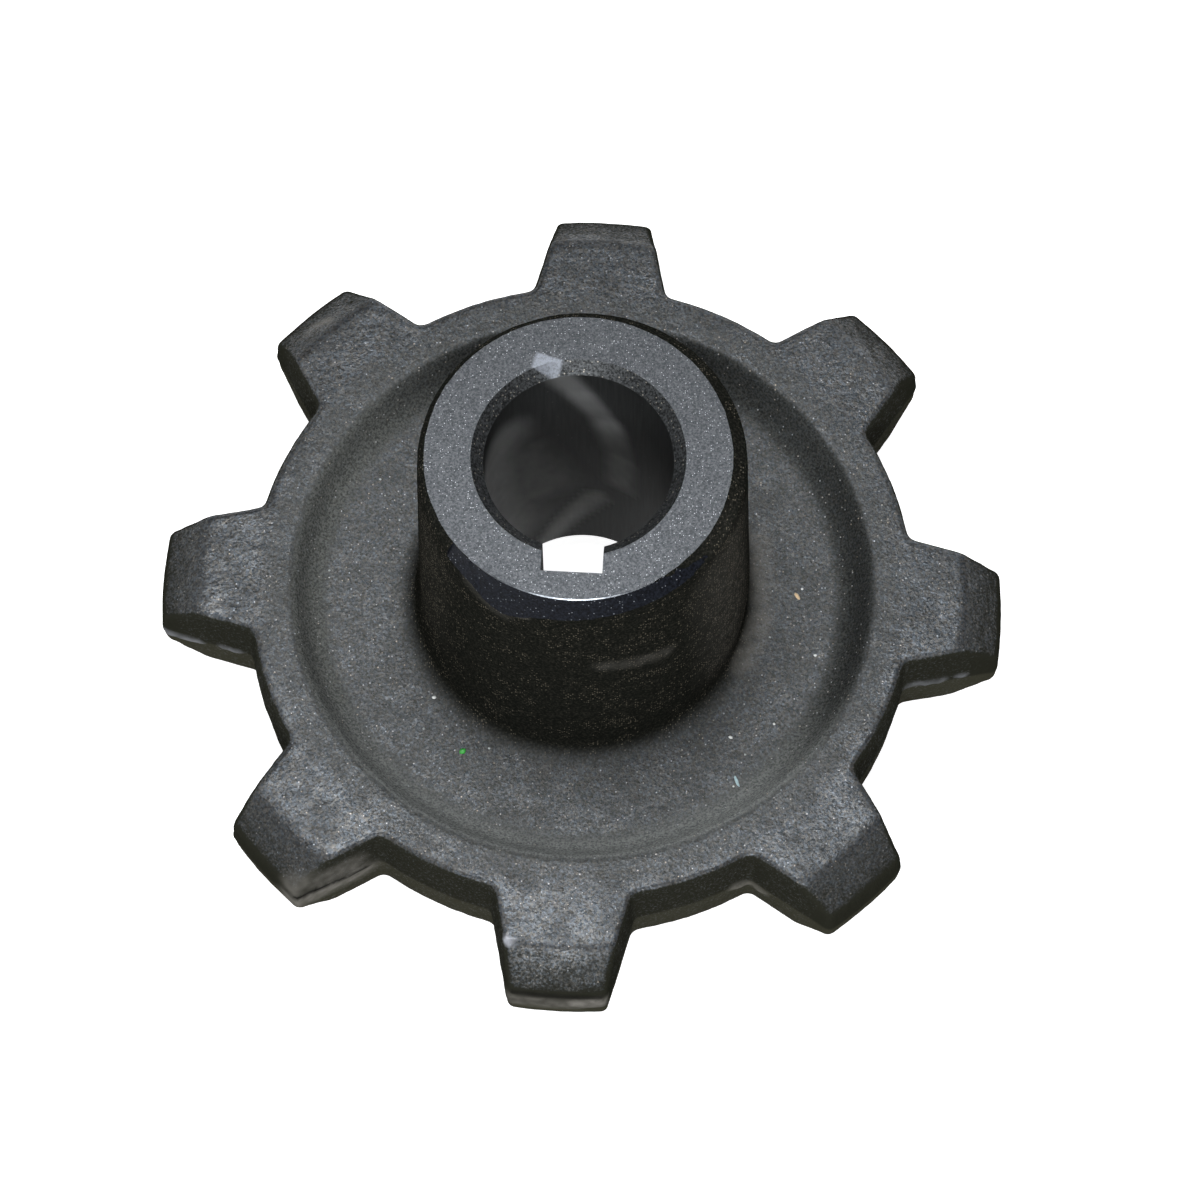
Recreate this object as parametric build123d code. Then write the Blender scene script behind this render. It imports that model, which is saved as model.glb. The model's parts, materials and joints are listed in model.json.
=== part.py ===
from build123d import *
from math import asin, cos, degrees, hypot, radians, sin, sqrt, tan
import os

# Cast iron chain sprocket: a toothed rim on a dished web, with a long drafted hub on one side.
# The bore runs along Z. z = 0 is the rear face of the rim, which the sprocket lies on, and the
# nose of the hub points to +Z. Teeth stand on +X, -X, +Y, -Y and the diagonals, and the keyway
# is cut on the centreline of the tooth at -Y.

# ---- toothed rim: plan sizes hold at the parting plane, where the casting is widest
tooth_count = 8
root_radius = 46.7          # floor of the gaps, concentric with the bore
tooth_height = 12.3         # from the floor of the gaps to the tip
gap_width = 16.6            # across a gap at its floor
tip_width = 13.8            # across a tooth where its straight flanks reach the tip
gap_corner_radius = 1.2     # where the flanks run into the floor
rim_thickness = 16.4
draft_angle = 3.5           # the moulded sides lean in by this on both sides of the parting plane
bevel_length = 5.8          # from the tip in to where the flat of the tooth ends
bevel_drop = 4.5            # how far the bevel falls below the flat, on both faces
bevel_start_rounding = 3.0
bevel_end_rounding = 2.0
cast_edge_radius = 1.2      # moulded rounding all along the outline

# ---- dished web
rim_width = 6.5             # from the floor of the gaps in to where the dish starts
web_recess = 4.2            # depth of the dish, on both faces
dish_wall_angle = 33.0      # lean of the dish's wall away from the bore's direction
dish_edge_radius = 2.0
dish_floor_radius = 3.5

# ---- hub
hub_height = 42.5           # nose face above the front face of the rim
hub_base_radius = 23.2      # at the web
hub_top_radius = 21.7       # under the nose's corner
hub_foot_radius = 2.2
nose_face_radius = 20.35
nose_corner_height = 1.4    # slope between the nose face and the side of the hub
boss_rise = 1.6             # low boss round the bore, above the floor of the rear dish
boss_face_radius = 20.0
boss_base_radius = 21.0

# ---- bore and keyway
bore_radius = 12.5
bore_chamfer = 1.6
keyway_width = 8.0
keyway_depth = 3.8          # floor of the keyway below the wall of the bore

# ---- sizes that follow from those above, and how far a cutter runs past the face it opens
tip_radius = root_radius + tooth_height
bevel_start_radius = tip_radius - bevel_length
rim_inner_radius = root_radius - rim_width
parting_z = rim_thickness / 2
rear_web_z = web_recess
front_web_z = rim_thickness - web_recess
boss_z = rear_web_z - boss_rise
nose_z = rim_thickness + hub_height
overrun = 1.0


def toothed_outline():
    """Rim and teeth in plan at the parting plane, with rounded gap corners."""
    gap_half_angle = degrees(asin(gap_width / 2 / root_radius))
    tooth_half_angle = radians(180 / tooth_count - gap_half_angle)
    root_x = root_radius * cos(tooth_half_angle)
    root_y = root_radius * sin(tooth_half_angle)
    tip_y = tip_width / 2
    tip_x = sqrt(tip_radius ** 2 - tip_y ** 2)
    inner_x = root_x - 2 * gap_corner_radius
    with BuildSketch() as tooth:
        with BuildLine():
            ThreePointArc((tip_x, -tip_y), (tip_radius, 0), (tip_x, tip_y))
            Polyline(
                (tip_x, tip_y),
                (root_x, root_y),
                (inner_x, root_y),
                (inner_x, -root_y),
                (root_x, -root_y),
                (tip_x, -tip_y),
            )
        make_face()
    with BuildSketch() as outline:
        Circle(root_radius)
        with PolarLocations(0, tooth_count):
            add(tooth.sketch)
        gap_corners = [v for v in outline.vertices() if abs(hypot(v.X, v.Y) - root_radius) < 0.01]
        fillet(gap_corners, gap_corner_radius)
    return outline.sketch


def bevel_envelope():
    """Turned shape that bounds the front half of the rim: flat face, tip bevel and drafted tip."""
    bevel_end_z = rim_thickness - bevel_drop
    bevel_end_radius = tip_radius - (bevel_end_z - parting_z) * tan(radians(draft_angle))
    half_section = make_face(
        Polyline(
            (0, parting_z),
            (tip_radius, parting_z),
            (bevel_end_radius, bevel_end_z),
            (bevel_start_radius, rim_thickness),
            (0, rim_thickness),
            close=True,
        )
    )
    bevel_end = half_section.vertices().sort_by_distance((bevel_end_radius, bevel_end_z))[0]
    half_section = fillet(bevel_end, bevel_end_rounding)
    bevel_start = half_section.vertices().sort_by_distance((bevel_start_radius, rim_thickness))[0]
    half_section = fillet(bevel_start, bevel_start_rounding)
    return revolve(Plane.XZ * half_section, Axis.Z)


def moulded_edges(half):
    """Edges to round on one half of the rim: where its drafted sides meet its face and bevels."""
    moulded = []
    for edge in half.edges():
        lowest = min(vertex.Z for vertex in edge.vertices())
        highest = max(vertex.Z for vertex in edge.vertices())
        reach = hypot(edge.center().X, edge.center().Y)
        on_parting_line = highest < parting_z + 0.01
        in_gap_corner = lowest < parting_z + 0.01 and reach < bevel_start_radius
        across_a_tooth = edge.geom_type == GeomType.CIRCLE and edge.radius > root_radius + 0.01
        if not (on_parting_line or in_gap_corner or across_a_tooth):
            moulded.append(edge)
    return moulded


def toothed_rim():
    """Solid toothed plate, the same on both sides of the parting plane."""
    plan = Plane.XY.offset(parting_z) * toothed_outline()
    front_half = extrude(plan, amount=parting_z, taper=draft_angle) & bevel_envelope()
    front_half = fillet(moulded_edges(front_half), cast_edge_radius)
    return front_half + mirror(front_half, about=Plane.XY.offset(parting_z))


def turned(*corners):
    """Solid of revolution about the bore, from the (radius, z) corners of its half section."""
    half_section = make_face(Polyline(*corners, close=True))
    return revolve(Plane.XZ * half_section, Axis.Z)


def rings(solid, radius, *heights):
    """The circular edges of a solid that have this radius and lie at these heights."""
    circles = [e for e in solid.edges().filter_by(GeomType.CIRCLE) if abs(e.radius - radius) < 0.01]
    return [e for e in circles if any(abs(e.arc_center.Z - z) < 0.01 for z in heights)]


def dished_web(rim):
    """Rim with the web sunk between it and the hub on both faces."""
    floor_radius = rim_inner_radius - web_recess * tan(radians(dish_wall_angle))
    front_dish = turned(
        (0, front_web_z),
        (floor_radius, front_web_z),
        (rim_inner_radius, rim_thickness),
        (rim_inner_radius, rim_thickness + overrun),
        (0, rim_thickness + overrun),
    )
    rear_dish = mirror(front_dish, about=Plane.XY.offset(parting_z))
    web = rim - front_dish - rear_dish
    web = fillet(rings(web, rim_inner_radius, 0, rim_thickness), dish_edge_radius)
    return fillet(rings(web, floor_radius, rear_web_z, front_web_z), dish_floor_radius)


def hubbed(web):
    """Web with the drafted hub on its front and the low boss on its rear."""
    hub = turned(
        (0, parting_z),
        (hub_base_radius, parting_z),
        (hub_base_radius, front_web_z),
        (hub_top_radius, nose_z - nose_corner_height),
        (nose_face_radius, nose_z),
        (0, nose_z),
    )
    boss = turned(
        (0, parting_z),
        (boss_base_radius, parting_z),
        (boss_base_radius, rear_web_z),
        (boss_face_radius, boss_z),
        (0, boss_z),
    )
    body = web + hub + boss
    return fillet(rings(body, hub_base_radius, front_web_z), hub_foot_radius)


def bored(body):
    """Body with the bore, its two chamfers and the keyway cut through."""
    length = nose_z - boss_z
    middle = Pos(0, 0, (nose_z + boss_z) / 2)
    body = body - middle * Cylinder(bore_radius, length + 2 * overrun)
    body = chamfer(rings(body, bore_radius, boss_z, nose_z), bore_chamfer)
    keyway_floor = bore_radius + keyway_depth
    on_its_floor = (Align.CENTER, Align.MAX, Align.CENTER)
    slot = Box(keyway_width, keyway_floor, length + 2 * overrun, align=on_its_floor)
    return body - middle * slot


sprocket = bored(hubbed(dished_web(toothed_rim())))
sprocket.label = "sprocket"

os.makedirs("parts", exist_ok=True)
export_step(sprocket, "parts/sprocket.step")
print(f"sprocket: {sprocket.volume / 1000:.1f} cm3, valid {sprocket.is_valid}")
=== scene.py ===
import json
import math
import bmesh
import bpy
from mathutils import Matrix, Vector, noise

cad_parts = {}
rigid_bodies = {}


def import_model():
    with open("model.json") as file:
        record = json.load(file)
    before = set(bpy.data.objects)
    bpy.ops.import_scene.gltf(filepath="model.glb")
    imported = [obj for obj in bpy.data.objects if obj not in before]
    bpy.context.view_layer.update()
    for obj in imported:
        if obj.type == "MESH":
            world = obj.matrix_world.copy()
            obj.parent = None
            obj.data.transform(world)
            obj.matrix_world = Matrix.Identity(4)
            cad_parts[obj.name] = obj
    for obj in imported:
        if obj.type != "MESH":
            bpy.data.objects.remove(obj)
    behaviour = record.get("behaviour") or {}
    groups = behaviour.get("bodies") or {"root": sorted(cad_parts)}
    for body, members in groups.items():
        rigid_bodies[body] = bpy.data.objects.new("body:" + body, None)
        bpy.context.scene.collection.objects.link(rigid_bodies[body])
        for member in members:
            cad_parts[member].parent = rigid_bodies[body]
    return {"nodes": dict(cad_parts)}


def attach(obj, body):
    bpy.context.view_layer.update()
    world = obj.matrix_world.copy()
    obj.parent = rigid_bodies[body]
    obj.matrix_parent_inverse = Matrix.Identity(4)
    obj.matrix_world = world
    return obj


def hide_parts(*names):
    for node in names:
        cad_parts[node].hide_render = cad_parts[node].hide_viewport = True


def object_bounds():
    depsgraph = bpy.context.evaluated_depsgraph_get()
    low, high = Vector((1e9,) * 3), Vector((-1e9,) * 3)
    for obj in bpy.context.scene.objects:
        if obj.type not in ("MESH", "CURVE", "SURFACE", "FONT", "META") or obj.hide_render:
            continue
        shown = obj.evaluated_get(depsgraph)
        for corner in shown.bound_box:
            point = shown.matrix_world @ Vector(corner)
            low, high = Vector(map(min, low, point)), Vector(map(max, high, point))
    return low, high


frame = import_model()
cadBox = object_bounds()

mm = 0.001
weld = 0.001 * mm                  # points nearer than this are one
partingHeight = 8.2 * mm           # where the two halves of the mould met, in the middle of the rim

for leftover in [thing for thing in bpy.data.objects if thing.name in ("Cube", "Light", "Camera")]:
    bpy.data.objects.remove(leftover)


# small helpers

def linear(hexColour):
    channels = [int(hexColour[i:i + 2], 16) / 255 for i in (1, 3, 5)]
    return [c / 12.92 if c <= 0.04045 else ((c + 0.055) / 1.055) ** 2.4 for c in channels] + [1.0]


def socket(sockets, name):
    # Mix and Map Range have several sockets of one name, and only one of them is in use
    return next(s for s in sockets if s.name == name and s.enabled)


def addNode(tree, kind, inputs=None, output=None, **settings):
    # inputs gives each socket, by its name or number, a value, a hex colour or another node's output;
    # what comes back is the output of the name asked for, or else the first one
    node = tree.nodes.new(kind)
    for name, setting in settings.items():
        setattr(node, name, setting)
    for name, value in (inputs or {}).items():
        target = node.inputs[name] if isinstance(name, int) else socket(node.inputs, name)
        if isinstance(value, bpy.types.NodeSocket):
            tree.links.new(value, target)
        else:
            target.default_value = linear(value) if isinstance(value, str) else value
    if output:
        return socket(node.outputs, output)
    return next((s for s in node.outputs if s.enabled), None)


def newMaterial(name):
    material = bpy.data.materials.new(name)
    material.use_nodes = True
    material.node_tree.nodes.clear()
    return material, material.node_tree


def perMillimetre(size):
    # noise scale that gives features of this many millimetres, on object coordinates in metres
    return 1 / (size * mm)


def newObject(name, mesh):
    thing = bpy.data.objects.new(name, mesh)
    bpy.context.scene.collection.objects.link(thing)
    return thing


def meshFrom(name, solid, material=None):
    mesh = bpy.data.meshes.new(name)
    solid.to_mesh(mesh)
    solid.free()
    if material:
        mesh.materials.append(material)
    return mesh


def applyModifiers(thing):
    depsgraph = bpy.context.evaluated_depsgraph_get()
    mesh = bpy.data.meshes.new_from_object(thing.evaluated_get(depsgraph))
    thing.modifiers.clear()
    thing.data = mesh


def smoothStep(low, high, value):
    t = min(max((value - low) / (high - low), 0), 1)
    return t * t * (3 - 2 * t)


# camera

cameraView = {
    "aim": (0, 0, 16.4 * mm),      # middle of the rim's front face
    "turn": 3.786,                 # degrees round the bore, from straight in front of the keyway
    "elevation": 67.449,
    "roll": -0.6606,
    "distance": 631.7 * mm,
    "sideways": 2.62 * mm,
    "up": -2.383 * mm,
    "lens": 136.35,
    "sensor": 36,
}


def addCamera():
    view = cameraView
    camera = bpy.data.cameras.new("camera")
    camera.lens = view["lens"]
    camera.sensor_width = view["sensor"]
    thing = newObject("camera", camera)
    thing.matrix_world = (
        Matrix.Translation(view["aim"])
        @ Matrix.Rotation(math.radians(view["turn"]), 4, "Z")
        @ Matrix.Rotation(math.radians(90 - view["elevation"]), 4, "X")
        @ Matrix.Rotation(math.radians(view["roll"]), 4, "Z")
        @ Matrix.Translation((view["sideways"], view["up"], view["distance"]))
    )
    bpy.context.scene.camera = thing


addCamera()
print("camera placed")


# materials

# Sand-cast grey iron under its oxide: near black and dusty brown on the drafted sides. Where it faces out
# along the bore, the tops of its orange peel
# are rubbed to a satin grey metal: partly wear from handling, partly painted light, since only faces that
# look up get it and the top colours.
castSkin = {
    "noises": {                    # size in millimetres, detail and roughness of each
        "peel": (1.0, 2.0, 0.5),   # orange peel left by the sand
        "grain": (0.34, 3.0, 0.65),        # moulding sand is 0.15 mm, drawn coarser so that it shows
        "patches": (3.6, 3.0, 0.5),        # rubbed more or less
        "clusters": (3.0, 2.0, 0.5),       # where brown grains lie closer
    },
    "peelHeight": 0.12 * mm,
    "grainHeight": 0.075 * mm,
    "tintCell": 0.28,              # millimetres, as are the cells below
    "paintedGlints": {"cell": 0.46, "share": 0.14, "size": 0.3},         # bright grains, painted as glints, where it faces up and is handled
    "sideGrains": {"cell": 0.3, "share": 0.2, "size": 0.48},       # brown grains on the sides
    "peelShare": 0.14,             # of the relief that the rubbing follows, the rest of it is grain
    "reliefWeight": 1.8,           # how much that relief counts beside the handling and its painted light
    "gloss": 0.0,                  # the oxide is dead matt
    "rubbedAndLitMetal": 0.85,
    "roughness": (0.62, 0.32),     # of the oxide, and where it is rubbed
    "paintedShadeSide": (0.6, 0.8, 0),      # painted shade: the dust in the dish is painted darker toward here
    # what each mask goes by, the values of that between which it changes, and its own values there
    "masks": {
        "onRim": ("radius", 43 * mm, 46 * mm, 0, 1),
        "upOnWeb": ("facing", 0.05, 0.65, 0, 1),
        "upOnRim": ("facing", 0.58, 0.985, 0, 1),            # the rim is rubbed, and painted lighter, on its flats only
        # painted shade: round the foot of the hub the skin gets neither the top colours nor rubbing, so it
        # stays dark
        "clearOfHubShade": ("radius", 22.9 * mm, 26.6 * mm, 0, 1),
        "needed": ("radius", 54 * mm, 58.6 * mm, 0.74, 0.98),     # the bevels are rubbed less at their foot: wear, and painted shade
        "patch": ("patches", 0.3, 0.68, 0.7, 1),
        "sandy": ("grain", 0.38, 0.64, 0.5, 1),
        "high": ("grain", 0.35, 0.65, 0, 1),
        "film": ("grain", 0.44, 0.68, 0, 1),
        "cluster": ("clusters", 0.42, 0.66, -0.16, 0.22),
        "intoDish": ("radius", 34 * mm, 37.5 * mm, 0, 1),    # dust lies in the corner of the dish
        "outOfDish": ("radius", 40.9 * mm, 42.6 * mm, 1, 0),
        "sunk": ("offMiddle", 7.7 * mm, 8.25 * mm, 1, 0),
        # painted shade and light: the dust in the dish is darker toward the far side and lighter toward the
        # front
        "towardPaintedShade": ("alongPaintedShade", -12 * mm, 22 * mm, 0, 1),
        "towardPaintedLight": ("y", -12 * mm, -34 * mm, 0, 1),
        "aboveParting": ("z", 7.2 * mm, 8.6 * mm, 0, 1),
        "peelStrength": ("radius", 34 * mm, 43 * mm, 0.45, 1),    # the web is smoother than the rim
    },
    "peaks": (0.12, 1.0),          # handling with its painted light, and relief, together at which rubbing starts and is full
    "openInDish": 0.26,            # how much of the rubbing and its painted light shows through the dust
    # colours from the bottom up: what each row makes, the mask that it goes by, and the colours
    # where that mask is 0 and where it is 1
    "colours": [
        ("coolMetal", "speck", "#454a4f", "#6b7177"),
        ("warmMetal", "speck", "#484643", "#726f6a"),
        ("metal", "tint", "coolMetal", "warmMetal"),
        ("hub", "film", "#171815", "#2d2c27"),
        ("hub", "sideGrains", "hub", "#645e52"),
        ("flank", "aboveParting", "#3b3a30", "#292922"),     # painted light: the sides are lighter below the parting line, where light from the floor falls
        ("side", "onRim", "hub", "flank"),
        ("top", "onRim", "#4b4b48", "#2a2a28"),
        # partly wear, partly painted light: faces that look up take the top colours, the others the side
        # colours
        ("skin", "handledAndLit", "side", "top"),
        ("dishDust", "high", "#3f403d", "#6f706b"),
        # dust in the dish, with painted shade toward the far side and painted light toward the front
        ("dustInPaintedShade", "high", "#212220", "#3c3d3a"),
        ("dustInPaintedLight", "high", "#636563", "#989a96"),
        ("dustAndPaintedLight", "towardPaintedShade", "dishDust", "dustInPaintedShade"),
        ("dustAndPaintedLight", "towardPaintedLight", "dustAndPaintedLight", "dustInPaintedLight"),
        ("skin", "inDish", "skin", "dustAndPaintedLight"),
        # partly wear, partly painted light: the rubbed metal lies only on faces that look up
        ("skin", "rubbedAndLit", "skin", "metal"),
        # painted glints: bright specks for the lamps' sparkle
        ("glint", "tint", "#b4bac0", "#aa9c8a"),
        ("skin", "glints", "skin", "glint"),
        ("skin", "dust", "skin", "#8b8780"),
        ("skin", "bare", "skin", "#c9cbd2"),
        ("skin", "crack", "skin", "#0f0f0d"),
    ],
}


def scatter(tree, place, grains, more=0.0):
    # mask of small round grains: one may lie in each cell, and only a share of the cells holds one;
    # that share is larger where more is
    share, size = grains["share"], grains["size"]
    strong, core = 0.6 * share, 0.35 * size        # share of strong grains, and size of a grain's core
    cells = addNode(tree, "ShaderNodeTexVoronoi", {"Scale": perMillimetre(grains["cell"]), "Vector": place})
    pick = addNode(tree, "ShaderNodeSeparateColor", {"Color": cells.node.outputs["Color"]}, "Red")
    drawn = addNode(tree, "ShaderNodeMath", {0: pick, 1: more}, operation="ADD")
    chosen = addNode(tree, "ShaderNodeMapRange",
                     {"Value": drawn, "From Min": 1 - share, "From Max": 1 - strong})
    dot = addNode(tree, "ShaderNodeMapRange", {"Value": cells, "From Min": size, "From Max": core},
                  interpolation_type="SMOOTHSTEP")
    return addNode(tree, "ShaderNodeMath", {0: chosen, 1: dot}, operation="MULTIPLY")


def skinMeasures(tree, place):
    # what the masks of the cast skin go by
    look = castSkin
    at = addNode(tree, "ShaderNodeSeparateXYZ", {"Vector": place}).node.outputs
    flat = addNode(tree, "ShaderNodeCombineXYZ", {"X": at["X"], "Y": at["Y"]})
    upward = addNode(tree, "ShaderNodeSeparateXYZ", {"Vector": place.node.outputs["Normal"]}, "Z")
    above = addNode(tree, "ShaderNodeMath", {0: at["Z"], 1: partingHeight}, operation="SUBTRACT")
    measures = {
        "y": at["Y"],
        "z": at["Z"],
        "radius": addNode(tree, "ShaderNodeVectorMath", {0: flat}, operation="LENGTH"),
        "facing": addNode(tree, "ShaderNodeMath", {0: upward}, operation="ABSOLUTE"),
        "offMiddle": addNode(tree, "ShaderNodeMath", {0: above}, operation="ABSOLUTE"),
        # how far toward the side where the dish's dust is painted darker
        "alongPaintedShade": addNode(tree, "ShaderNodeVectorMath", {0: place, 1: look["paintedShadeSide"]},
                                operation="DOT_PRODUCT"),
    }
    for name, (size, detail, roughness) in look["noises"].items():
        measures[name] = addNode(tree, "ShaderNodeTexNoise",
                                 {"Vector": place, "Scale": perMillimetre(size), "Detail": detail,
                                  "Roughness": roughness})
    return measures


def skinMasks(tree, place, measures):
    look, masks = castSkin, {}
    for name, (measure, low, high, start, end) in look["masks"].items():
        masks[name] = addNode(tree, "ShaderNodeMapRange",
                              {"Value": measures[measure], "From Min": low, "From Max": high,
                               "To Min": start, "To Max": end}, interpolation_type="SMOOTHSTEP")
    for kind in ("dust", "bare", "crack", "scuff"):
        masks[kind] = addNode(tree, "ShaderNodeAttribute", output="Fac", attribute_name=kind)

    # where it is handled less, and less light is painted, only the peaks of the relief are rubbed
    up = addNode(tree, "ShaderNodeMix",
                 {"Factor": masks["onRim"], "A": masks["upOnWeb"], "B": masks["upOnRim"]}, data_type="FLOAT")
    relief = addNode(tree, "ShaderNodeMix",
                     {"Factor": look["peelShare"], "A": measures["grain"], "B": measures["peel"]},
                     data_type="FLOAT")
    spare = addNode(tree, "ShaderNodeMath", {0: up, 1: masks["needed"]}, operation="SUBTRACT")
    standing = addNode(tree, "ShaderNodeMath", {0: relief, 1: look["reliefWeight"], 2: spare},
                       operation="MULTIPLY_ADD")
    low, high = look["peaks"]
    masks["up"] = up
    masks["peaks"] = addNode(tree, "ShaderNodeMapRange",
                             {"Value": standing, "From Min": low, "From Max": high},
                             interpolation_type="SMOOTHSTEP")
    masks["fine"] = addNode(tree, "ShaderNodeMix", {"Factor": masks["onRim"], "A": masks["sandy"], "B": 1.0},
                            data_type="FLOAT")
    for name, one, other in (("handledAndLit", "up", "clearOfHubShade"), ("wornAndLit", "peaks", "clearOfHubShade"),
                             ("wornAndLit", "wornAndLit", "patch"), ("wornAndLit", "wornAndLit", "fine"),
                             ("inDish", "intoDish", "outOfDish"), ("inDish", "inDish", "sunk")):
        masks[name] = addNode(tree, "ShaderNodeMath", {0: masks[one], 1: masks[other]}, operation="MULTIPLY")
    showing = addNode(tree, "ShaderNodeMapRange",
                      {"Value": masks["inDish"], "To Min": 1.0, "To Max": look["openInDish"]},
                      interpolation_type="SMOOTHSTEP")
    masks["rubbedAndLit"] = addNode(tree, "ShaderNodeMath", {0: masks["wornAndLit"], 1: showing}, operation="MULTIPLY")

    # grains of several tints: brown ones on the sides, and bright ones painted as glints where it faces up
    # and is handled
    tints = addNode(tree, "ShaderNodeTexVoronoi",
                    {"Scale": perMillimetre(look["tintCell"]), "Vector": place}, "Color")
    tint = addNode(tree, "ShaderNodeSeparateColor", {"Color": tints}).node.outputs
    masks["speck"], masks["tint"] = tint["Red"], tint["Green"]
    crowd = addNode(tree, "ShaderNodeMath", {0: masks["cluster"], 1: masks["scuff"]}, operation="ADD")
    masks["sideGrains"] = scatter(tree, place, look["sideGrains"], crowd)
    paintedGlints = scatter(tree, place, look["paintedGlints"])
    masks["glints"] = addNode(tree, "ShaderNodeMath", {0: masks["handledAndLit"], 1: paintedGlints},
                              operation="MULTIPLY")
    return masks


def castSkinMaterial():
    look = castSkin
    material, tree = newMaterial("sandCastIronSkin")
    place = addNode(tree, "ShaderNodeTexCoord", output="Object")
    measures = skinMeasures(tree, place)
    masks = skinMasks(tree, place, measures)
    colours = {}
    for name, mask, low, high in look["colours"]:
        colours[name] = addNode(tree, "ShaderNodeMix",
                                {"Factor": masks[mask], "A": colours.get(low, low),
                                 "B": colours.get(high, high)}, data_type="RGBA")
    rubbedAndLit = masks["rubbedAndLit"]
    matt, satin = look["roughness"]
    metallic = addNode(tree, "ShaderNodeMapRange", {"Value": rubbedAndLit, "To Max": look["rubbedAndLitMetal"]})
    rough = addNode(tree, "ShaderNodeMapRange", {"Value": rubbedAndLit, "To Min": matt, "To Max": satin})
    peelBump = addNode(tree, "ShaderNodeBump",
                       {"Height": measures["peel"], "Distance": look["peelHeight"],
                        "Strength": masks["peelStrength"]})
    grainBump = addNode(tree, "ShaderNodeBump",
                        {"Height": measures["grain"], "Distance": look["grainHeight"], "Normal": peelBump})
    shader = addNode(tree, "ShaderNodeBsdfPrincipled",
                     {"Base Color": colours["skin"], "Metallic": metallic, "Roughness": rough,
                      "Specular IOR Level": look["gloss"], "Normal": grainBump})
    addNode(tree, "ShaderNodeOutputMaterial", {"Surface": shader})
    return material


# The grain of all the machined faces: how much of it is light, and the streaks it leaves where a face is
# burnished and painted with a highlight (the grain's values between which they change, and how strong they
# are there).
cutGrain = {
    "detail": 3.0,
    "roughness": 0.65,
    "light": (0.36, 0.66),
    "streaks": (0.3, 0.6, 0.6, 1.0),
}

# Grey iron faced on a lathe with a blunt tool: a bluish satin grey, full of fine sparkle where the graphite
# has torn out, painted into its colour as bright glints.
facedIron = {
    "name": "facedGreyIron",
    "dark": "#404245",
    "light": "#636567",
    "glint": "#d2d5d8",
    "grainSize": 0.26,             # graphite flakes are about 0.1 mm, drawn coarser so that they show
    "grainHeight": 0.02 * mm,
    "stretch": (1, 1, 1),
    "glints": {"cell": 0.25, "share": 0.24, "size": 0.32},
    "metal": 0.9,
    "roughness": 0.45,
    "burnishedAndHighlighted": True,
}

# Grey iron bored to size: smooth, with faint tool marks along the bore. Painted shade: it is painted near
# black and matt for the shade inside the bore, and its sheen marks are painted light and reflections, in
# soft streaks and on its left wall.
boredIron = {
    "name": "boredGreyIron",
    "dark": "#191a1a",
    "light": "#232424",
    "glint": "#3c3d3d",
    "grainSize": 0.45,
    "grainHeight": 0.006 * mm,
    "stretch": (1, 1, 0.05),
    "glints": {"cell": 0.6, "share": 0.05, "size": 0.3},
    "metal": 0.0,                  # matt, with no metal showing, so that the bore stays dark as painted shade
    "gloss": 0.08,
    "roughness": 0.6,
    # colour of the painted light and reflections in the bore
    "paintedSheen": "#c2c2c0",
}

# The bore's chamfer, countersunk through the skin: dark and torn, with brown grains in it.
chamferedIron = {
    "name": "countersunkGreyIron",
    "dark": "#232424",
    "light": "#585a5b",
    "glint": "#aaa499",
    "grainSize": 0.35,
    "grainHeight": 0.03 * mm,
    "stretch": (1, 1, 1),
    "glints": {"cell": 0.36, "share": 0.25, "size": 0.38},
    "metal": 0.7,
    "roughness": 0.5,
    "burnishedAndHighlighted": True,
}

# The band turned under the nose: blue-black from the heat of the cut, with torn grains.
turnedIron = {
    "name": "turnedGreyIron",
    "dark": "#0b0c10",
    "light": "#1d2027",
    "glint": "#7f848a",
    "grainSize": 0.35,
    "grainHeight": 0.015 * mm,
    "stretch": (1, 1, 1),
    "glints": {"cell": 0.36, "share": 0.22, "size": 0.32},
    "metal": 0.0,                  # a film of burnt oil hides the metal
    "gloss": 0.05,
    "roughness": 0.55,
}

# The nose's edge above that band, broken with a file: a thin bright line.
filedIron = {
    "name": "filedGreyIron",
    "dark": "#777b80",
    "light": "#abb0b5",
    "glint": "#e2e5e8",
    "grainSize": 0.5,
    "grainHeight": 0.004 * mm,
    "stretch": (1, 1, 1),
    "glints": {"cell": 0.4, "share": 0.2, "size": 0.36},
    "metal": 1.0,
    "roughness": 0.33,
}

# Bright place on the corner of the bore: partly burnished by something dragged over it, partly a painted
# highlight where the corner catches the light.
burnishAndHighlight = {
    "centre": (-4.9 * mm, 13.15 * mm, 58.6 * mm),
    "turn": -16,                   # degrees
    "half": (2.1 * mm, 1.35 * mm),     # its half length and half width
    "fullInside": 0.7,             # of each half size
    "colour": "#8f939a",
}


def burnishAndHighlightMask(tree, place):
    # one inside a turned rectangle seen along the bore, and nothing outside it
    centre, turn = Vector(burnishAndHighlight["centre"]), math.radians(burnishAndHighlight["turn"])
    inside = []
    for angle, half in zip((turn, turn + math.pi / 2), burnishAndHighlight["half"]):
        full = burnishAndHighlight["fullInside"] * half
        direction = Vector((math.cos(angle), math.sin(angle), 0))
        across = addNode(tree, "ShaderNodeVectorMath", {0: place, 1: direction}, operation="DOT_PRODUCT")
        away = addNode(tree, "ShaderNodeMath", {0: across, 1: centre.dot(direction)}, operation="SUBTRACT")
        distance = addNode(tree, "ShaderNodeMath", {0: away}, operation="ABSOLUTE")
        inside.append(addNode(tree, "ShaderNodeMapRange",
                              {"Value": distance, "From Min": half, "From Max": full},
                              interpolation_type="SMOOTHSTEP"))
    return addNode(tree, "ShaderNodeMath", {0: inside[0], 1: inside[1]}, operation="MULTIPLY")


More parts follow.
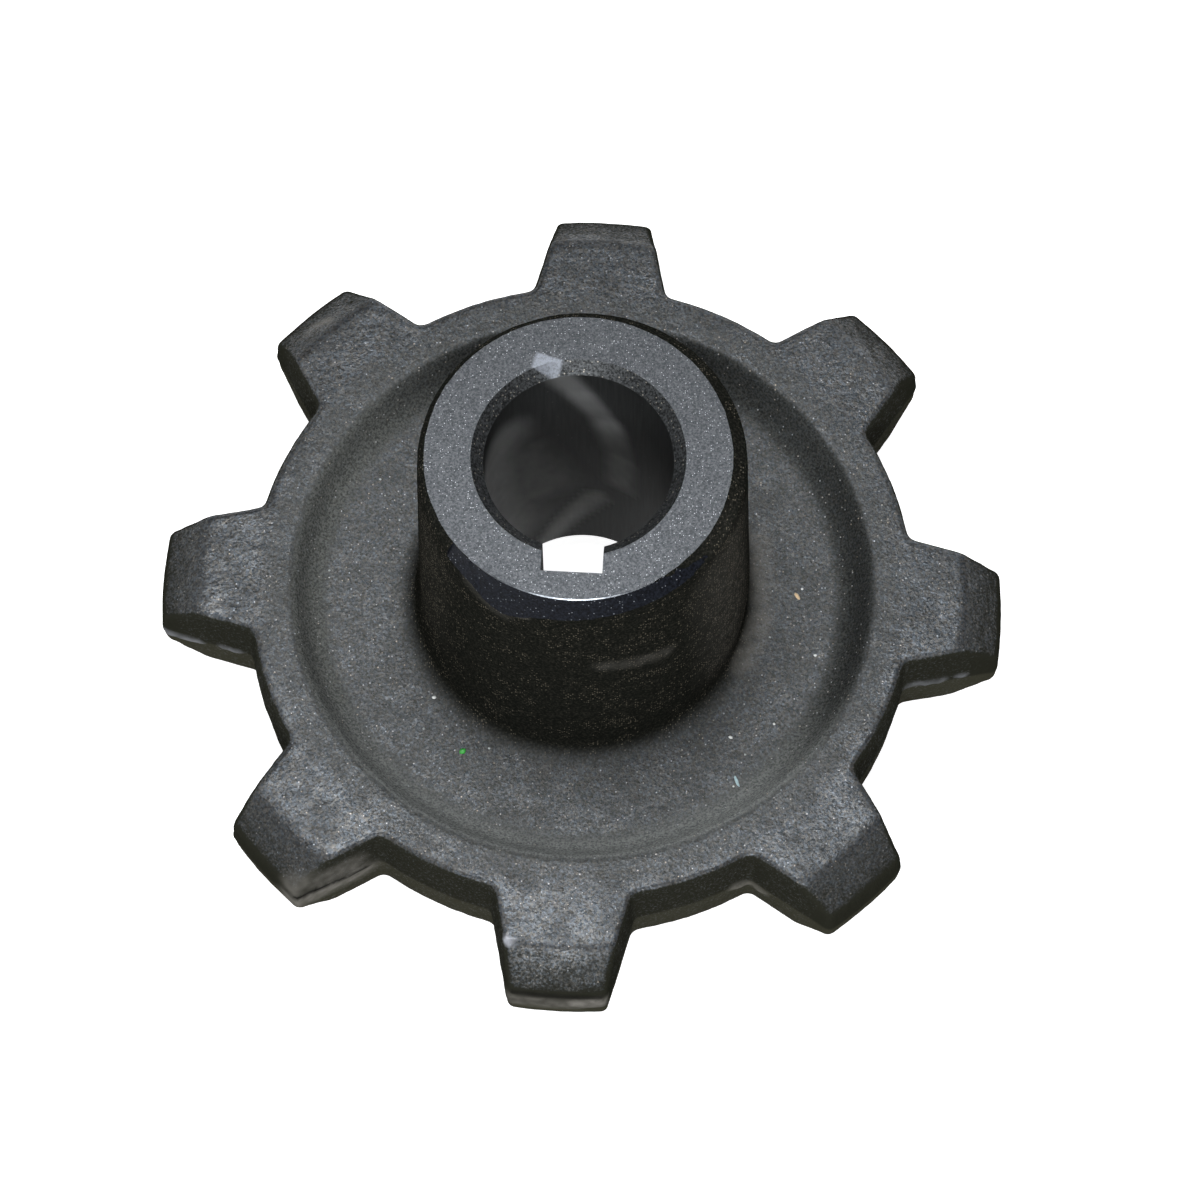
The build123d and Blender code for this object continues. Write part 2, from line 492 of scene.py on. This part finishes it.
def cutIronMaterial(look):
    material, tree = newMaterial(look["name"])
    place = addNode(tree, "ShaderNodeTexCoord", output="Object")
    stretched = addNode(tree, "ShaderNodeMapping", {"Vector": place, "Scale": look["stretch"]})
    grain = addNode(tree, "ShaderNodeTexNoise",
                    {"Vector": stretched, "Scale": perMillimetre(look["grainSize"]),
                     "Detail": cutGrain["detail"], "Roughness": cutGrain["roughness"]})
    low, high = cutGrain["light"]
    light = addNode(tree, "ShaderNodeMapRange", {"Value": grain, "From Min": low, "From Max": high},
                    interpolation_type="SMOOTHSTEP")
    layers = [(light, look["light"]), (scatter(tree, place, look["glints"]), look["glint"])]
    # partly burnish, partly a painted highlight on the corner of the bore
    if look.get("burnishedAndHighlighted"):
        low, high, weak, full = cutGrain["streaks"]
        streaks = addNode(tree, "ShaderNodeMapRange",
                          {"Value": grain, "From Min": low, "From Max": high, "To Min": weak,
                           "To Max": full}, interpolation_type="SMOOTHSTEP")
        rubbedAndLit = addNode(tree, "ShaderNodeMath", {0: burnishAndHighlightMask(tree, place), 1: streaks},
                         operation="MULTIPLY")
        layers.append((rubbedAndLit, burnishAndHighlight["colour"]))
    # painted light and reflections in the bore, from its sheen marks
    if "paintedSheen" in look:
        paintedSheen = addNode(tree, "ShaderNodeAttribute", output="Fac", attribute_name="paintedSheen")
        layers.append((paintedSheen, look["paintedSheen"]))
    colour = look["dark"]
    for mask, over in layers:
        colour = addNode(tree, "ShaderNodeMix", {"Factor": mask, "A": colour, "B": over},
                         data_type="RGBA")
    bump = addNode(tree, "ShaderNodeBump", {"Distance": look["grainHeight"], "Height": grain})
    shader = addNode(tree, "ShaderNodeBsdfPrincipled",
                     {"Base Color": colour, "Metallic": look["metal"], "Roughness": look["roughness"],
                      "Specular IOR Level": look.get("gloss", 0.5), "Normal": bump})
    addNode(tree, "ShaderNodeOutputMaterial", {"Surface": shader})
    return material


# the casting

# It is worked in the order that the real one was: cast with its bore filled, then cut.
casting = {
    "fillRadius": 17.6 * mm,       # the fill closes the bore and the keyway
    "fillFromTo": (8 * mm, 50 * mm),
    "fillOnBoss": (19.7 * mm, 20.2 * mm),      # its radii on the boss, at the face and at the foot
    "fillOnNose": (21.6 * mm, 18.9 * mm),      # and on the nose, at the foot and at the face
    "fillSegments": 192,
    "gridSize": 0.42 * mm,
    "smoothing": 4,
    "triangles": 170000,           # before machining, and the piece stays under 200,000
    "lumpSize": 6.0 * mm,          # slow waves left by the sand mould
    "lumpNoise": (0.8, 2.0, 3),    # falloff, step and number of its octaves
    "lumpDepth": 0.09 * mm,
    "grainSize": 1.2 * mm,         # coarse grain; finer grain is in the material
    "grainDepth": 0.09 * mm,
    "hubShift": 0.48 * mm,         # the cast hub stands off the bore's centre
    "shiftRise": (13 * mm, 22 * mm),       # it moves over between these heights
    "cornerHeight": 1.4 * mm,      # sloping corner of the cast hub under the nose
    "flashHeight": 0.2 * mm,       # thin fin of iron where the mould parted
    "flashWidth": 0.55 * mm,
    "flashRadius": (42 * mm, 45 * mm),     # it starts outside the web
    "flashBreaks": 4 * mm,         # size of the gaps in it
    "flashShift": (3, 7, 0),       # so that the gaps don't follow the grain
    "flashMore": 0.1,              # it covers a little more than half of the line
}

machining = {
    "noseHeight": 58.9 * mm,
    "cutRadius": 20.2 * mm,        # the cuts under the nose start here, just inside its uneven edge
    "bossHeight": 2.6 * mm,
    "noseToolReach": 30 * mm,
    "bossToolRadius": 24 * mm,
    "bossToolSegments": 96,
    "overrun": 1 * mm,             # how far a cutter runs past the face that it opens
    "boreRadius": 12.5 * mm,
    "boreChamfer": 1.6 * mm,
    "keywayWidth": 8.0 * mm,
    "keywayFloor": 16.3 * mm,      # from the axis
    "stock": 1.5 * mm,             # left on the nose and the boss for facing
    "edgeBreak": 0.09 * mm,
    "breakAngle": 42,              # its fall, in degrees
    "breakFromTo": (-136, -48),    # degrees round the bore
    "breakRise": (-0.02, 0.15),    # shares of its length in which it widens, and narrows again
    "breakFade": (0.4, 1.0),
    "breakReach": 2 * mm,
    "stripSteps": 72,
    "boreSegments": 112,
    "boreStep": 1.4 * mm,
    "slopes": (0.2, 0.95),         # a chamfer's faces lie between these values of the normal's z
    "sharpAngle": 20,              # degrees between two machined faces whose edge stays crisp
}

# The tool ran in under the nose on one side, because the hub stands off centre there.
turnedBand = {
    "firstSlope": 0.16,            # how fast the cut widens below the nose, at its left end
    "lastSlope": 1.25,             # and at its right end, where it runs out into the skin
    # degrees round the bore, and millimetres that the cut reaches below the nose there
    "depths": [(-140, 0.3), (-127, 1.8), (-123, 4.6), (-115, 5.8), (-107, 4.4), (-100, 3.8),
               (-87, 3.1), (-74, 3.2), (-60, 2.9), (-47, 2.3), (-36, 1.5)],
    "runOut": 2.5,                 # height of the cut's lower ledge for each millimetre of its width
    "reach": 4 * mm,               # out past the skin
    "lipHeight": 0.3 * mm,         # metal pushed up along the lower edge, at the left
    "lipWidth": 0.8 * mm,
    "lipBelow": 0.5 * mm,          # its crest, under the lower edge
    "lipAngles": (-132, -102),
    "lipFade": (6, 10),            # degrees in which it rises and dies away
    "lipInside": 18 * mm,          # nothing nearer the bore is pushed up
}

# Blobs and bits of flash that stand on the skin: centre, radius and height, in millimetres.
blobs = [
    ((-57.4, -7.1, 7.9), 0.8, 0.35), ((-56.0, -7.4, 7.8), 0.9, 0.4), ((-54.5, -7.8, 7.7), 1.0, 0.4),
    ((-53.0, -8.2, 7.6), 0.8, 0.3), ((-49.8, -9.0, 7.9), 0.6, 0.3), ((-48.2, -9.3, 7.9), 0.9, 0.35),
    ((46.2, -9.8, 8.4), 0.8, 0.35), ((48.5, -9.2, 8.4), 0.8, 0.4), ((50.3, -8.8, 8.4), 0.9, 0.4),
    ((53.5, -8.1, 8.8), 0.7, 0.35), ((24.2, -40.2, 7.2), 1.2, 0.4), ((26.4, -40.4, 6.0), 1.0, 0.3),
]

# Marks, each along a line: kind, from, to and half width in millimetres, and strength. Dust is a pale
# film, bare is metal that shows through, crack is a dark seam, scuff is where brown grains crowd, and
# the sheen marks are painted light and reflections in the bore.
marks = [
    ("bare", (-58.2, -6.9, 8.1), (-53.2, -8.1, 7.7), 0.7, 0.35),
    ("bare", (-49.9, -8.9, 7.9), (-47.6, -9.5, 7.9), 0.7, 0.3),
    ("bare", (46.2, -9.8, 8.4), (50.8, -8.7, 8.4), 0.8, 0.22),
    ("bare", (53.3, -8.1, 8.8), (53.8, -8.0, 8.8), 0.7, 0.22),
    ("dust", (23.6, -40.1, 7.6), (26.8, -40.4, 6.0), 1.3, 0.5),
    ("dust", (2.6, -58.8, 9.4), (5.6, -58.7, 9.6), 1.6, 0.9),
    ("dust", (-5.6, -58.7, 9.2), (2.0, -58.8, 9.0), 2.2, 0.42),
    ("crack", (-6.0, -58.5, 11.6), (5.8, -58.5, 11.2), 0.6, 0.7),
    ("bare", (-7.1, -52.4, 16.1), (-6.8, -52.9, 16.1), 0.55, 1.0),
    ("crack", (-37.0, -46.0, 9.5), (-32.0, -43.6, 8.9), 0.45, 1.0),
    ("crack", (-32.0, -43.6, 8.9), (-27.4, -40.4, 8.1), 0.4, 0.9),
    ("dust", (-38.0, -46.5, 7.6), (-28.0, -41.0, 7.2), 2.6, 0.62),
    ("dust", (-37.0, -46.0, 12.0), (-29.0, -41.6, 11.6), 2.4, 0.4),
    ("dust", (-40.2, 38.8, 14.4), (-38.8, 39.6, 14.9), 0.9, 0.5),
    ("dust", (-41.6, 37.2, 14.4), (-40.6, 38.2, 14.3), 0.8, 0.35),
    ("dust", (24.6, 9.6, 12.3), (25.3, -2.5, 12.3), 1.6, 0.32),
    ("dust", (25.3, -2.5, 12.3), (22.9, -9.4, 12.5), 1.8, 0.36),
    ("scuff", (4.2, -22.2, 40.6), (13.8, -18.3, 38.5), 1.6, 0.2),
    ("scuff", (15.9, -15.9, 52.5), (5.8, -22.0, 42.0), 2.2, 0.14),
    ("dust", (4.6, -22.1, 40.3), (12.8, -18.9, 38.7), 1.4, 0.16),
    ("dust", (-13.6, -17.2, 57.3), (-10.6, -19.6, 53.9), 0.8, 0.35),
    ("dust", (-10.6, -19.6, 53.9), (-5.6, -21.6, 53.7), 0.7, 0.3),
    ("dust", (-13.4, -17.6, 54.5), (-9.4, -20.3, 51.9), 1.8, 0.14),
    # painted light and reflections in the bore
    ("paintedSheen", (-3.1, 12.1, 57.2), (-0.6, 12.5, 51.5), 1.9, 0.24),
    ("paintedSheen", (-0.6, 12.5, 51.5), (3.2, 12.0, 43.0), 1.9, 0.3),
    ("paintedSheen", (3.2, 12.0, 43.0), (4.8, 11.5, 33.0), 2.2, 0.55),
    ("paintedSheen", (4.8, 11.5, 33.0), (4.8, 11.5, 25.0), 2.2, 0.75),
    ("paintedSheen", (1.4, 12.4, 18.4), (-5.5, 11.2, 4.7), 1.8, 1.0),
    ("paintedSheen", (-9.6, 8.0, 36.0), (-6.0, 11.0, 24.0), 5.0, 0.6),
    ("paintedSheen", (-12.2, 2.6, 44.0), (-11.6, 4.8, 16.0), 7.5, 1.0),
    ("dust", (20.4, -8.6, 22.0), (19.6, -9.0, 50.0), 7.0, 0.12),
    ("scuff", (20.4, -8.6, 22.0), (19.6, -9.0, 52.0), 6.0, 0.6),
    ("scuff", (-20.4, -8.6, 22.0), (-19.6, -9.0, 52.0), 5.0, 0.45),
    ("dust", (-20.4, -8.6, 26.0), (-19.6, -9.0, 50.0), 6.0, 0.035),
]
marking = {
    "edge": (0.3, 1.5),            # in half widths, where a mark starts to fade and where it ends
    "reach": 3,                    # half widths past its ends within which points are looked at
    "noiseSize": 1.2 * mm,
    "uneven": {"bare": 0.5, "crack": 0, "dust": 0.5, "scuff": 0.5, "paintedSheen": 0.15},
}


def turnedShape(profile, segments):
    # closed solid turned about the bore from its (radius, height) corners: a disc if the profile
    # starts on the axis, or else a ring
    solid = bmesh.new()
    corners = [solid.verts.new((radius, 0, height)) for radius, height in profile]
    ring = profile[0][0] > 0
    after = corners[1:] + corners[:1] if ring else corners[1:]
    edges = [solid.edges.new(pair) for pair in zip(corners, after)]
    bmesh.ops.spin(solid, geom=corners + edges, axis=(0, 0, 1), angle=2 * math.pi, steps=segments)
    bmesh.ops.remove_doubles(solid, verts=solid.verts, dist=weld / 2)
    bmesh.ops.recalc_face_normals(solid, faces=solid.faces)
    return solid


def boxShape(low, high):
    solid = bmesh.new()
    middle = (Vector(low) + Vector(high)) / 2
    size = Vector(high) - Vector(low)
    bmesh.ops.create_cube(solid, size=1, matrix=Matrix.Translation(middle) @ Matrix.Diagonal((*size, 1)))
    return solid


def castBlank():
    # the casting before machining: bore and keyway filled, with stock on the nose and the boss
    nose, stock, over = machining["noseHeight"], machining["stock"], machining["overrun"]
    boss, radius = machining["bossHeight"], casting["fillRadius"]
    (bossFace, bossFoot), (noseFoot, noseFace) = casting["fillOnBoss"], casting["fillOnNose"]
    first, last = casting["fillFromTo"]
    fill = turnedShape([
        (0, boss - stock), (bossFace, boss - stock), (bossFoot, boss + over), (radius, first),
        (radius, last), (noseFoot, nose - casting["cornerHeight"]), (noseFace, nose + stock),
        (0, nose + stock),
    ], casting["fillSegments"])
    shell = bmesh.new()
    shell.from_mesh(frame["nodes"]["sprocket"].data)
    bmesh.ops.remove_doubles(shell, verts=shell.verts, dist=weld)
    filler = meshFrom("filler", fill)
    shell.from_mesh(filler)
    drawn = newObject("drawn", meshFrom("drawn", shell))
    blank = newObject("sprocketCasting", drawn.data.copy())
    blank.data.materials.clear()
    grid = blank.modifiers.new("grid", "REMESH")
    grid.mode = "VOXEL"
    grid.voxel_size = casting["gridSize"]
    even = blank.modifiers.new("even", "SMOOTH")
    even.iterations = casting["smoothing"]
    true = blank.modifiers.new("true", "SHRINKWRAP")
    true.target = drawn
    applyModifiers(blank)
    bpy.data.objects.remove(drawn)
    return blank


def bandDepth(angle):
    # how far the turned band reaches below the nose at this angle, in metres
    depths = turnedBand["depths"]
    if not depths[0][0] <= angle <= depths[-1][0]:
        return 0
    (fromAngle, fromDepth), (toAngle, toDepth) = next(
        pair for pair in zip(depths, depths[1:]) if angle <= pair[1][0])
    return (fromDepth + (toDepth - fromDepth) * (angle - fromAngle) / (toAngle - fromAngle)) * mm


def lipAt(place):
    # height of the pushed-up lip along the band's lower edge
    band = turnedBand
    angle = math.degrees(math.atan2(place.y, place.x))
    (first, last), (rise, fade) = band["lipAngles"], band["lipFade"]
    along = smoothStep(first, first + rise, angle) * (1 - smoothStep(last - fade, last, angle))
    if along == 0 or place.xy.length < band["lipInside"]:
        return 0
    below = machining["noseHeight"] - bandDepth(angle) - band["lipBelow"] - place.z
    return band["lipHeight"] * along * math.exp(-(below / band["lipWidth"]) ** 2)


def blobAt(place):
    # how high the blobs stand here: past two radii they have died away
    height = 0
    for centre, radius, rise in blobs:
        away = (place - Vector(centre) * mm).length / (radius * mm)
        if away < 2:
            height += rise * mm * math.exp(-(away ** 2))
    return height


def roughen(blank):
    # sand grain, waves, flash, blobs and the lip, and then the hub's shift
    mesh, size = blank.data, casting
    top = machining["noseHeight"]
    normals = [n.vector.copy() for n in mesh.vertex_normals]
    for vertex, normal in zip(mesh.vertices, normals):
        place = vertex.co.copy()
        lump = noise.fractal(place / size["lumpSize"], *size["lumpNoise"])
        grain = noise.noise(place / size["grainSize"])
        inward = size["lumpDepth"] * (0.5 - 0.5 * lump) + size["grainDepth"] * (0.5 - 0.5 * grain)
        onParting = math.exp(-((place.z - partingHeight) / size["flashWidth"]) ** 2)
        gaps = noise.noise(place / size["flashBreaks"] + Vector(size["flashShift"]))
        broken = max(0, gaps + size["flashMore"])
        outer = smoothStep(*size["flashRadius"], place.xy.length)
        inward -= size["flashHeight"] * onParting * (1 - abs(normal.z)) * broken * outer
        inward -= blobAt(place) + lipAt(place)
        vertex.co = place - normal * inward
        rise = smoothStep(*size["shiftRise"], place.z)
        fade = smoothStep(top - size["cornerHeight"], top, place.z)
        vertex.co.x += size["hubShift"] * rise * (1 - fade)
    mesh.update()
    thin = blank.modifiers.new("thin", "DECIMATE")
    thin.ratio = size["triangles"] / sum(len(face.vertices) - 2 for face in mesh.polygons)
    applyModifiers(blank)


def cut(target, shape, material, slopeMaterial=None):
    # the faces that a cutter leaves take its material, and those of its slopes may have their own
    mesh = meshFrom("cutter", shape, material)
    if slopeMaterial:
        mesh.materials.append(slopeMaterial)
        steep, flat = machining["slopes"]
        for face in mesh.polygons:
            face.material_index = 1 if steep < abs(face.normal.z) < flat else 0
    cutter = newObject("cutter", mesh)
    step = target.modifiers.new("cut", "BOOLEAN")
    step.operation = "DIFFERENCE"
    step.solver = "MANIFOLD"
    step.material_mode = "TRANSFER"
    step.object = cutter
    applyModifiers(target)
    bpy.data.objects.remove(cutter)


def stripShape(first, last, cornersAt):
    # closed strip round the hub between two angles, from the (radius, height) corners of its section
    solid = bmesh.new()
    sections = []
    steps = machining["stripSteps"]
    for step in range(steps + 1):
        share = step / steps
        angle = first + (last - first) * share
        around = Vector((math.cos(math.radians(angle)), math.sin(math.radians(angle)), 0))
        places = [around * radius + Vector((0, 0, height)) for radius, height in cornersAt(angle, share)]
        sections.append([solid.verts.new(place) for place in places])
    for one, other in zip(sections, sections[1:]):
        for index in range(len(one)):
            after = (index + 1) % len(one)
            solid.faces.new((one[index], one[after], other[after], other[index]))
    solid.faces.new(sections[0])
    solid.faces.new(sections[-1])
    bmesh.ops.recalc_face_normals(solid, faces=solid.faces)
    return solid


def bandShape():
    # what the tool took off under the nose
    band, nose, inner = turnedBand, machining["noseHeight"], machining["cutRadius"]
    over, reach = machining["overrun"], band["reach"]

    def cornersAt(angle, share):
        depth = bandDepth(angle)
        slope = band["firstSlope"] + (band["lastSlope"] - band["firstSlope"]) * share ** 2
        return [(inner - slope * over, nose + over), (inner + slope * depth, nose - depth),
                (inner + reach, nose - depth - band["runOut"] * (reach - slope * depth)),
                (inner + reach, nose + over)]

    return stripShape(band["depths"][0][0], band["depths"][-1][0], cornersAt)


def edgeBreakShape():
    # what the file took off the nose's edge above the band
    edge, nose, over = machining["cutRadius"], machining["noseHeight"], machining["overrun"]
    reach, fall = machining["breakReach"], math.tan(math.radians(machining["breakAngle"]))
    least = 0.05                   # share of its width that is left at its end

    def cornersAt(angle, share):
        growth = smoothStep(*machining["breakRise"], share)
        width = machining["edgeBreak"] * growth * (1 + least - smoothStep(*machining["breakFade"], share))
        return [(edge - width, nose), (edge + reach, nose - (reach + width) * fall),
                (edge + reach, nose + over), (edge - width, nose + over)]

    return stripShape(*machining["breakFromTo"], cornersAt)


def machine(blank, faced, bored, chamfered, turned, filed):
    # facing of the nose and the boss, the band, the filed edge, the bore with its chamfers, the keyway
    size = machining
    nose, boss, stock = size["noseHeight"], size["bossHeight"], size["stock"]
    reach, tool, over = size["noseToolReach"], size["bossToolRadius"], size["overrun"]
    cut(blank, boxShape((-reach, -reach, nose), (reach, reach, nose + 4 * stock)), faced)
    cut(blank, turnedShape([(0, -stock), (tool, -stock), (tool, boss), (0, boss)],
                           size["bossToolSegments"]), faced)
    cut(blank, bandShape(), turned)
    cut(blank, edgeBreakShape(), filed)
    chamfer, radius = size["boreChamfer"], size["boreRadius"]
    cut(blank, turnedShape([
        (0, boss - over), (radius + chamfer + over, boss - over), (radius, boss + chamfer),
        (radius, nose - chamfer), (radius + chamfer + over, nose + over), (0, nose + over),
    ], size["boreSegments"]), bored, chamfered)
    halfWidth = size["keywayWidth"] / 2
    cut(blank, boxShape((-halfWidth, -size["keywayFloor"], boss - over), (halfWidth, 0, nose + over)), bored)


def divideBore(mesh, material):
    # rings of points up the bore, which carry the marks on it
    solid = bmesh.new()
    solid.from_mesh(mesh)
    height = machining["bossHeight"]
    while height < machining["noseHeight"]:
        height += machining["boreStep"]
        wall = [face for face in solid.faces if face.material_index == material]
        edges = {edge for face in wall for edge in face.edges}
        points = {vertex for face in wall for vertex in face.verts}
        bmesh.ops.bisect_plane(solid, geom=[*wall, *edges, *points], plane_co=(0, 0, height),
                               plane_no=(0, 0, 1), dist=weld)
    bmesh.ops.triangulate(solid, faces=[face for face in solid.faces if len(face.verts) > 4])
    solid.to_mesh(mesh)
    solid.free()


def sharpenCuts(mesh):
    # cut edges stay crisp: where two finishes meet, and where two machined faces meet at an angle
    solid = bmesh.new()
    solid.from_mesh(mesh)
    sharpest = math.radians(machining["sharpAngle"])
    for edge in solid.edges:
        one, other = edge.link_faces
        machined = one.material_index and other.material_index
        alike = one.material_index == other.material_index
        edge.smooth = alike and not (machined and edge.calc_face_angle() > sharpest)
    solid.to_mesh(mesh)
    solid.free()


def markSkin(blank):
    # how strong each kind of mark is at each point of the skin
    mesh = blank.data
    strengths = {kind: [0.0] * len(mesh.vertices) for kind in marking["uneven"]}
    full, none = marking["edge"]
    for kind, start, end, width, strength in marks:
        start, end, width = Vector(start) * mm, Vector(end) * mm, width * mm
        along, reach = end - start, (end - start).length / 2 + marking["reach"] * width
        middle = (start + end) / 2
        for vertex in mesh.vertices:
            if (vertex.co - middle).length > reach:
                continue
            share = min(max((vertex.co - start).dot(along) / along.length_squared, 0), 1)
            away = (vertex.co - start - along * share).length
            grain = noise.noise(vertex.co / marking["noiseSize"])
            uneven = 1 - marking["uneven"][kind] * (0.5 - grain)
            value = strength * uneven * (1 - smoothStep(full * width, none * width, away))
            strengths[kind][vertex.index] = max(strengths[kind][vertex.index], value)
    for kind, values in strengths.items():
        mesh.attributes.new(kind, "FLOAT", "POINT").data.foreach_set("value", values)


def finishCasting():
    blank = castBlank()
    print("blank", len(blank.data.vertices), "points")
    roughen(blank)
    print("skin roughened")
    blank.data.materials.append(castSkinMaterial())
    irons = (facedIron, boredIron, chamferedIron, turnedIron, filedIron)
    machine(blank, *[cutIronMaterial(iron) for iron in irons])
    divideBore(blank.data, blank.data.materials.find(boredIron["name"]))
    lowest, highest = cadBox
    for vertex in blank.data.vertices:
        for axis in range(3):
            vertex.co[axis] = min(max(vertex.co[axis], lowest[axis]), highest[axis])
    blank.data.shade_smooth()
    sharpenCuts(blank.data)
    markSkin(blank)
    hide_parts("sprocket")
    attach(blank, "root")
    triangles = sum(len(face.vertices) - 2 for face in blank.data.polygons)
    print("casting machined,", triangles, "triangles, materials", [m.name for m in blank.data.materials])


finishCasting()


# the grit on the web

# Grains of quartz and dust, chips of paint and a sliver of foil, pressed into the film of oil: a little
# glossy, and flecked with grey.
grit = {
    "colours": {"quartz": "#f4f5f2", "dull": "#b4b8b6", "green": "#3fae43", "tan": "#e8cda3",
                "foil": "#b6cfd3"},
    "flecks": "#4a4a48",
    "fleckSize": 0.3,              # millimetres
    "fleckRange": (0.3, 0.7),      # values of the grain between which they fade
    "fleckShare": 0.25,            # how much of the fleck's colour shows at most
    "roughness": 0.4,
    "thickness": 0.7,              # of the bit's width
    "sink": 0.35,                  # share of its height under the skin
    "lump": 0.35,                  # how uneven its shape is
    "lumpSize": 1.1,
    # place of the middle, length and width in millimetres, turn in degrees, and the colour it has
    "bits": [
        ((-19.5, -16.5), 0.62, 0.42, 10, "quartz"), ((30.8, 2.5), 0.36, 0.32, 0, "quartz"),
        ((33.0, -7.4), 0.44, 0.4, 20, "quartz"), ((21.8, -20.2), 0.62, 0.42, -25, "quartz"),
        ((27.7, -17.9), 0.36, 0.34, 0, "quartz"), ((22.5, -27.4), 0.3, 0.26, 0, "quartz"),
        ((26.6, -5.0), 0.34, 0.3, 0, "dull"), ((-29.4, 16.1), 0.34, 0.3, 0, "dull"),
        ((-26.2, 10.0), 0.32, 0.3, 0, "dull"), ((-35.5, 1.8), 0.32, 0.28, 0, "dull"),
        ((-27.8, -6.1), 0.34, 0.3, 0, "dull"), ((-20.6, -21.2), 0.34, 0.3, 0, "dull"),
        ((-11.4, -23.6), 0.34, 0.3, 0, "dull"), ((23.9, -22.6), 0.32, 0.3, 0, "dull"),
        ((-15.0, -24.2), 1.0, 0.8, 35, "green"), ((30.1, 1.4), 1.3, 0.5, -52, "tan"),
        ((22.9, -26.6), 1.75, 0.42, -66, "foil"),
    ],
}


def gritMaterial(name, colour):
    material, tree = newMaterial(name + "Grit")
    place = addNode(tree, "ShaderNodeTexCoord", output="Object")
    grain = addNode(tree, "ShaderNodeTexNoise",
                    {"Vector": place, "Scale": perMillimetre(grit["fleckSize"]), "Detail": 2.0,
                     "Roughness": 0.5})
    low, high = grit["fleckRange"]
    fleck = addNode(tree, "ShaderNodeMapRange",
                    {"Value": grain, "From Min": low, "From Max": high, "To Min": grit["fleckShare"],
                     "To Max": 0.0}, interpolation_type="SMOOTHSTEP")
    paint = addNode(tree, "ShaderNodeMix", {"Factor": fleck, "A": colour, "B": grit["flecks"]},
                    data_type="RGBA")
    shader = addNode(tree, "ShaderNodeBsdfPrincipled", {"Base Color": paint, "Roughness": grit["roughness"]})
    addNode(tree, "ShaderNodeOutputMaterial", {"Surface": shader})
    return material


def addGrit():
    # uneven closed pebbles, chips and slivers, each set on the skin that lies under it
    skin = bpy.data.objects["sprocketCasting"]
    solid = bmesh.new()
    names = list(grit["colours"])
    start, down = 50 * mm, Vector((0, 0, -1))      # looked for from above the web
    for index, ((x, y), length, width, turn, colour) in enumerate(grit["bits"]):
        ground = skin.ray_cast(Vector((x * mm, y * mm, start)), down)[1]
        height = min(length, width) * grit["thickness"] * mm
        middle = ground + Vector((0, 0, (0.5 - grit["sink"]) * height))
        shape = Matrix.Diagonal((length * mm / 2, width * mm / 2, height / 2, 1))
        placed = Matrix.Translation(middle) @ Matrix.Rotation(math.radians(turn), 4, "Z") @ shape
        other = Vector((index * 3.7, 0, 0))        # so that no two are alike
        ball = bmesh.ops.create_icosphere(solid, subdivisions=2, radius=1)
        for vertex in ball["verts"]:
            vertex.co *= 1 + grit["lump"] * noise.noise(vertex.co * grit["lumpSize"] + other)
            vertex.co = placed @ vertex.co
        for part in {face for vertex in ball["verts"] for face in vertex.link_faces}:
            part.material_index = names.index(colour)
            part.smooth = False
    piece = newObject("webGrit", meshFrom("webGrit", solid))
    for name, colour in grit["colours"].items():
        piece.data.materials.append(gritMaterial(name, colour))
    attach(piece, "root")
    print("grit", len(grit["bits"]), "bits")


addGrit()


# floor and light

floorLook = {
    "radius": 3.0,
    "segments": 64,
    "colour": "#e6e5e3",
    "whiten": 0.95,                # lifts the bare floor to white for the eye and for reflections
}

# soft boxes, all aimed at the rear end of the bore: metres and watts
lampColour = "#f8fbff"
lights = {
    "overhead": {"place": (-0.03, 0.04, 0.5), "size": 0.18, "power": 1.25},
    "front": {"place": (0.0, -0.78, 0.45), "size": 0.36, "power": 4.85},
    "left": {"place": (-0.58, 0.0, 0.69), "size": 0.32, "power": 1.4},
    "right": {"place": (0.3, 0.0, 0.6), "size": 0.32, "power": 0.32},
    "back": {"place": (0.25, 0.76, 0.4), "size": 0.32, "power": 1.2},
}
skyStrength = 0.17


def addFloor():
    material, tree = newMaterial("mattePaperSweep")
    paper = addNode(tree, "ShaderNodeBsdfDiffuse", {"Color": floorLook["colour"]})
    seen = addNode(tree, "ShaderNodeLightPath", output="Is Camera Ray")
    path = seen.node.outputs
    for ray in ("Is Glossy Ray", "Is Transmission Ray"):
        seen = addNode(tree, "ShaderNodeMath", {0: seen, 1: path[ray]}, operation="MAXIMUM")
    white = addNode(tree, "ShaderNodeMath", {0: seen, 1: floorLook["whiten"]}, operation="MULTIPLY")
    glow = addNode(tree, "ShaderNodeEmission", {"Strength": white})
    both = addNode(tree, "ShaderNodeAddShader", {0: paper, 1: glow})
    addNode(tree, "ShaderNodeOutputMaterial", {"Surface": both})
    disc = bmesh.new()
    bmesh.ops.create_circle(disc, cap_ends=True, radius=floorLook["radius"],
                            segments=floorLook["segments"])
    floor = newObject("floor", meshFrom("floor", disc, material))


def addLights():
    for name, box in lights.items():
        lamp = bpy.data.lights.new(name, "AREA")
        lamp.size = box["size"]
        lamp.energy = box["power"]
        lamp.color = linear(lampColour)[:3]
        thing = newObject(name, lamp)
        thing.location = box["place"]
        thing.rotation_euler = (-Vector(box["place"])).to_track_quat("-Z", "Y").to_euler()
    world = bpy.data.worlds.new("room")
    bpy.context.scene.world = world
    world.use_nodes = True
    world.node_tree.nodes.clear()
    sky = addNode(world.node_tree, "ShaderNodeBackground", {"Strength": skyStrength})
    addNode(world.node_tree, "ShaderNodeOutputWorld", {"Surface": sky})


addFloor()
addLights()
bpy.context.scene.view_settings.view_transform = "Standard"
print("floor and lights placed")
